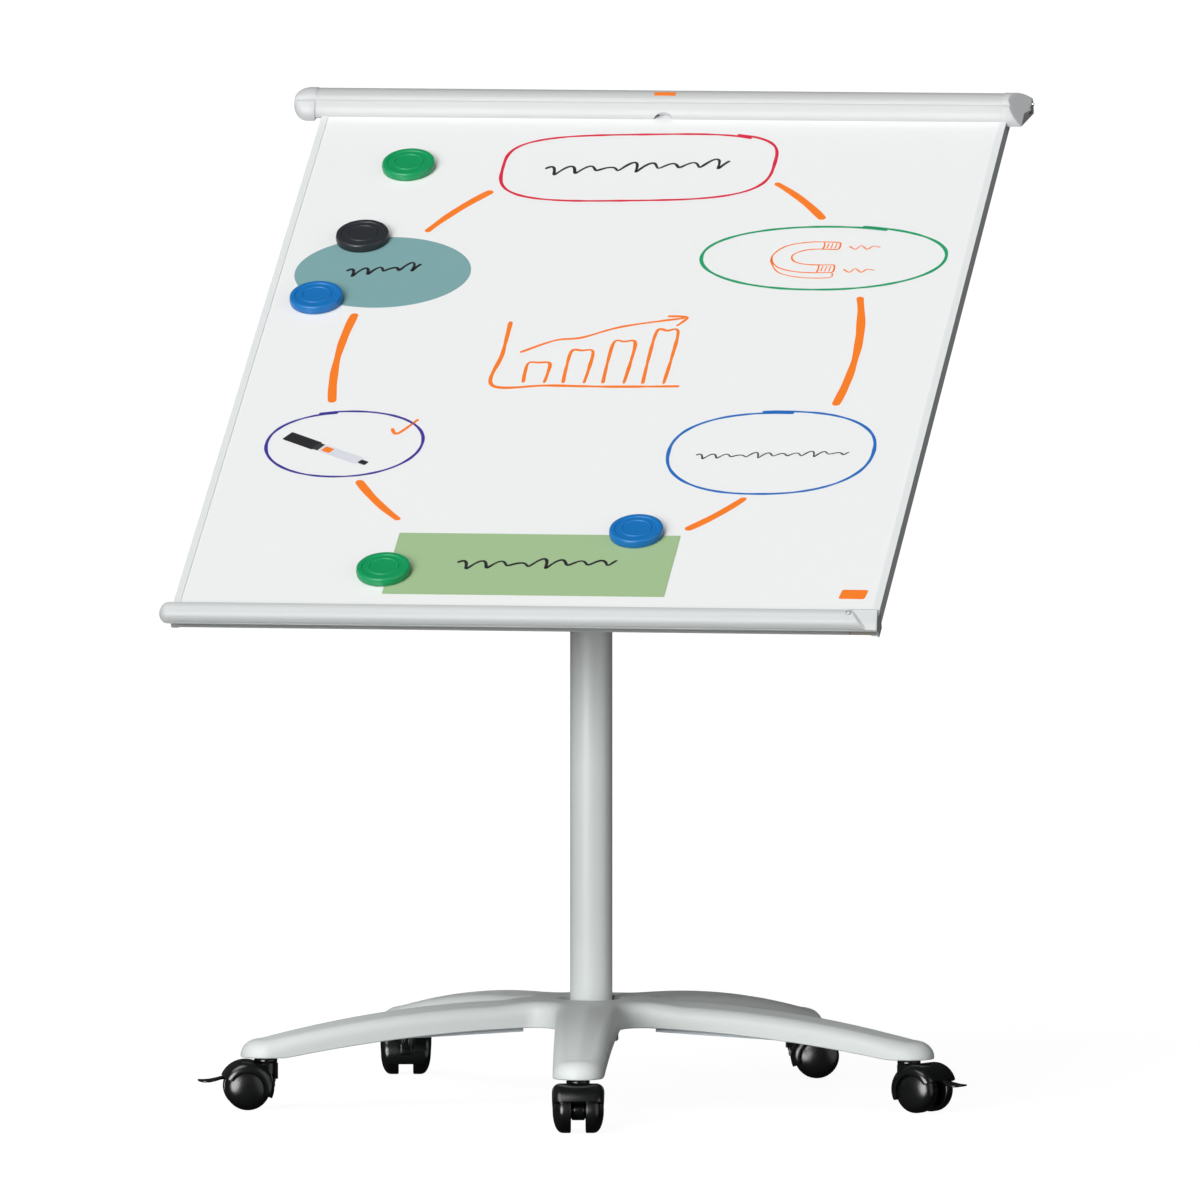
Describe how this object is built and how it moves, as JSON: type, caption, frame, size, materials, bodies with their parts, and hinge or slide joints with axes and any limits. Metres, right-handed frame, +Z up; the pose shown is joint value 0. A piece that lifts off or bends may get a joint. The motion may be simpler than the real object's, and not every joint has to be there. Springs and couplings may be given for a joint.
{
  "type": "mobile flipchart easel",
  "caption": "Mobile flipchart easel: magnetic whiteboard with a sprung paper clamp and a pen tray, tilting on a telescopic column over a five-legged castor base.",
  "frame": {"origin": "on the floor under the axis of the column", "axes": "+Z up, +X along the board's width to the viewer's right, -Y the side that the board faces"},
  "size_m": [0.7689, 0.9169, 0.9829],
  "materials": {
    "light_plastic": "fine-textured light grey moulding",
    "bush_plastic": "mid-grey moulded bush",
    "column_paint": "light grey powder coat",
    "steel": "bright zinc-plated steel",
    "dark_plastic": "dark grey moulding",
    "castor_plastic": "black moulded nylon, satin",
    "wheel_plastic": "black moulded nylon, smooth tread",
    "board_core": "fibreboard",
    "board_enamel": "gloss white lacquered steel",
    "trim_paint": "light grey satin paint",
    "clamp_paint": "satin white paint",
    "tray_plastic": "satin white moulding",
    "cap_plastic": "blue-grey moulding",
    "magnet_green": "moulded cap over a disc magnet",
    "magnet_blue": "moulded cap over a disc magnet",
    "magnet_black": "moulded cap over a disc magnet",
    "paper_teal": "matt coloured paper",
    "paper_green": "matt coloured paper"
  },
  "bodies": {
    "base": {"star_base": "light_plastic", "hub_socket": "bush_plastic", "base_bolt": "steel", "leg_stiffeners": "steel", "castor_sleeves": "bush_plastic", "castor_stems": "steel", "column_tube": "column_paint", "tube_guide": "bush_plastic", "height_collar": "dark_plastic"},
    "knob": {"height_knob": "dark_plastic"},
    "mast": {"inner_tube": "column_paint", "inner_glide": "bush_plastic"},
    "head": {"tilt_head": "light_plastic", "friction_washers": "dark_plastic"},
    "board": {"tilt_bolt": "steel", "tilt_bracket": "column_paint", "back_beam": "column_paint", "board_screws": "steel", "board_core": "board_core", "board_sheet": "board_enamel", "side_trims": "trim_paint", "clamp_rail": "trim_paint", "clamp_pin": "steel", "clamp_springs": "steel", "pen_tray": "tray_plastic", "tray_cap_left": "tray_plastic", "tray_cap_right": "tray_plastic", "magnets_green": "magnet_green", "magnets_blue": "magnet_blue", "magnet_black": "magnet_black", "note_teal": "paper_teal", "note_green": "paper_green"},
    "lock_lever": {"tilt_lever": "dark_plastic"},
    "clamp": {"clamp_bar": "clamp_paint", "clamp_cap_left": "cap_plastic", "clamp_cap_right": "cap_plastic"},
    "hook_left": {"pad_hook_left": "dark_plastic"},
    "hook_right": {"pad_hook_right": "dark_plastic"},
    "castor_front": {"castor_housing_front": "castor_plastic", "castor_axle_front": "steel"},
    "wheel_a_front": {"wheel_a_front": "wheel_plastic"},
    "wheel_b_front": {"wheel_b_front": "wheel_plastic"},
    "castor_right": {"castor_housing_right": "castor_plastic", "castor_axle_right": "steel"},
    "wheel_a_right": {"wheel_a_right": "wheel_plastic"},
    "wheel_b_right": {"wheel_b_right": "wheel_plastic"},
    "castor_rear_right": {"castor_housing_rear_right": "castor_plastic", "castor_axle_rear_right": "steel"},
    "wheel_a_rear_right": {"wheel_a_rear_right": "wheel_plastic"},
    "wheel_b_rear_right": {"wheel_b_rear_right": "wheel_plastic"},
    "castor_rear_left": {"castor_housing_rear_left": "castor_plastic", "castor_axle_rear_left": "steel"},
    "wheel_a_rear_left": {"wheel_a_rear_left": "wheel_plastic"},
    "wheel_b_rear_left": {"wheel_b_rear_left": "wheel_plastic"},
    "castor_left": {"castor_housing_left": "castor_plastic", "castor_axle_left": "steel"},
    "wheel_a_left": {"wheel_a_left": "wheel_plastic"},
    "wheel_b_left": {"wheel_b_left": "wheel_plastic"},
    "brake_right": {"brake_lever_right": "castor_plastic"},
    "brake_left": {"brake_lever_left": "castor_plastic"}
  },
  "joints": [
    {"name": "height_slide", "type": "slide", "parent": "base", "child": "mast", "axis": [0, 0, 1], "range_m": [0, 0.34]},
    {"name": "height_knob_turn", "type": "hinge", "parent": "base", "child": "knob", "pos_m": [0, 0.045, 0.522], "axis": [0, 1, 0], "range_deg": [0, 360]},
    {"name": "board_swivel", "type": "hinge", "parent": "mast", "child": "head", "pos_m": [0, 0, 0.62], "axis": [0, 0, 1], "range_deg": [-90, 90]},
    {"name": "board_tilt", "type": "hinge", "parent": "head", "child": "board", "pos_m": [0, 0, 0.6555], "axis": [-1, 0, 0], "range_deg": [-62.5, 27.5]},
    {"name": "tilt_lever_turn", "type": "hinge", "parent": "board", "child": "lock_lever", "pos_m": [0.026, 0, 0.6555], "axis": [1, 0, 0], "range_deg": [0, 90]},
    {"name": "clamp_open", "type": "hinge", "parent": "board", "child": "clamp", "pos_m": [0, 0.47903, 0.97082], "axis": [-1, 0, 0], "range_deg": [0, 35], "stiffness_Nm_per_rad": 1.2, "springref_deg": -28.65},
    {"name": "hook_left_slide", "type": "slide", "parent": "board", "child": "hook_left", "axis": [1, 0, 0], "range_m": [-0.09, 0.09]},
    {"name": "hook_right_slide", "type": "slide", "parent": "board", "child": "hook_right", "axis": [1, 0, 0], "range_m": [-0.09, 0.09]},
    {"name": "castor_swivel_front", "type": "hinge", "parent": "base", "child": "castor_front", "pos_m": [0.04199, -0.33236, 0.045], "axis": [0, 0, 1], "continuous": true},
    {"name": "wheel_a_spin_front", "type": "hinge", "parent": "castor_front", "child": "wheel_a_front", "pos_m": [0.02982, -0.3538, 0.0225], "axis": [0.9848, 0.1736, 0], "continuous": true},
    {"name": "wheel_b_spin_front", "type": "hinge", "parent": "castor_front", "child": "wheel_b_front", "pos_m": [0.06075, -0.34834, 0.0225], "axis": [0.9848, 0.1736, 0], "continuous": true},
    {"name": "castor_swivel_right", "type": "hinge", "parent": "base", "child": "castor_right", "pos_m": [0.32907, -0.06277, 0.045], "axis": [0, 0, 1], "continuous": true},
    {"name": "wheel_a_spin_right", "type": "hinge", "parent": "castor_right", "child": "wheel_a_right", "pos_m": [0.33847, -0.08556, 0.0225], "axis": [0.4695, 0.8829, 0], "continuous": true},
    {"name": "wheel_b_spin_right", "type": "hinge", "parent": "castor_right", "child": "wheel_b_right", "pos_m": [0.35321, -0.05783, 0.0225], "axis": [0.4695, 0.8829, 0], "continuous": true},
    {"name": "castor_swivel_rear_right", "type": "hinge", "parent": "base", "child": "castor_rear_right", "pos_m": [0.16139, 0.29356, 0.045], "axis": [0, 0, 1], "continuous": true},
    {"name": "wheel_a_spin_rear_right", "type": "hinge", "parent": "castor_rear_right", "child": "wheel_a_rear_right", "pos_m": [0.18282, 0.2814, 0.0225], "axis": [-0.1736, 0.9848, 0], "continuous": true},
    {"name": "wheel_b_spin_rear_right", "type": "hinge", "parent": "castor_rear_right", "child": "wheel_b_rear_right", "pos_m": [0.17737, 0.31232, 0.0225], "axis": [-0.1736, 0.9848, 0], "continuous": true},
    {"name": "castor_swivel_rear_left", "type": "hinge", "parent": "base", "child": "castor_rear_left", "pos_m": [-0.22932, 0.2442, 0.045], "axis": [0, 0, 1], "continuous": true},
    {"name": "wheel_a_spin_rear_left", "type": "hinge", "parent": "castor_rear_left", "child": "wheel_a_rear_left", "pos_m": [-0.21716, 0.26564, 0.0225], "axis": [-0.9848, -0.1736, 0], "continuous": true},
    {"name": "wheel_b_spin_rear_left", "type": "hinge", "parent": "castor_rear_left", "child": "wheel_b_rear_left", "pos_m": [-0.24808, 0.26019, 0.0225], "axis": [-0.9848, -0.1736, 0], "continuous": true},
    {"name": "castor_swivel_left", "type": "hinge", "parent": "base", "child": "castor_left", "pos_m": [-0.30312, -0.14264, 0.045], "axis": [0, 0, 1], "continuous": true},
    {"name": "wheel_a_spin_left", "type": "hinge", "parent": "castor_left", "child": "wheel_a_left", "pos_m": [-0.32553, -0.13239, 0.0225], "axis": [0.2588, -0.9659, 0], "continuous": true},
    {"name": "wheel_b_spin_left", "type": "hinge", "parent": "castor_left", "child": "wheel_b_left", "pos_m": [-0.31741, -0.16272, 0.0225], "axis": [0.2588, -0.9659, 0], "continuous": true},
    {"name": "brake_press_right", "type": "hinge", "parent": "castor_right", "child": "brake_right", "pos_m": [0.35644, -0.07733, 0.0315], "axis": [0.4695, 0.8829, 0], "range_deg": [0, 15]},
    {"name": "brake_press_left", "type": "hinge", "parent": "castor_left", "child": "brake_left", "pos_m": [-0.33306, -0.15066, 0.0315], "axis": [0.2588, -0.9659, 0], "range_deg": [0, 15]}
  ]
}
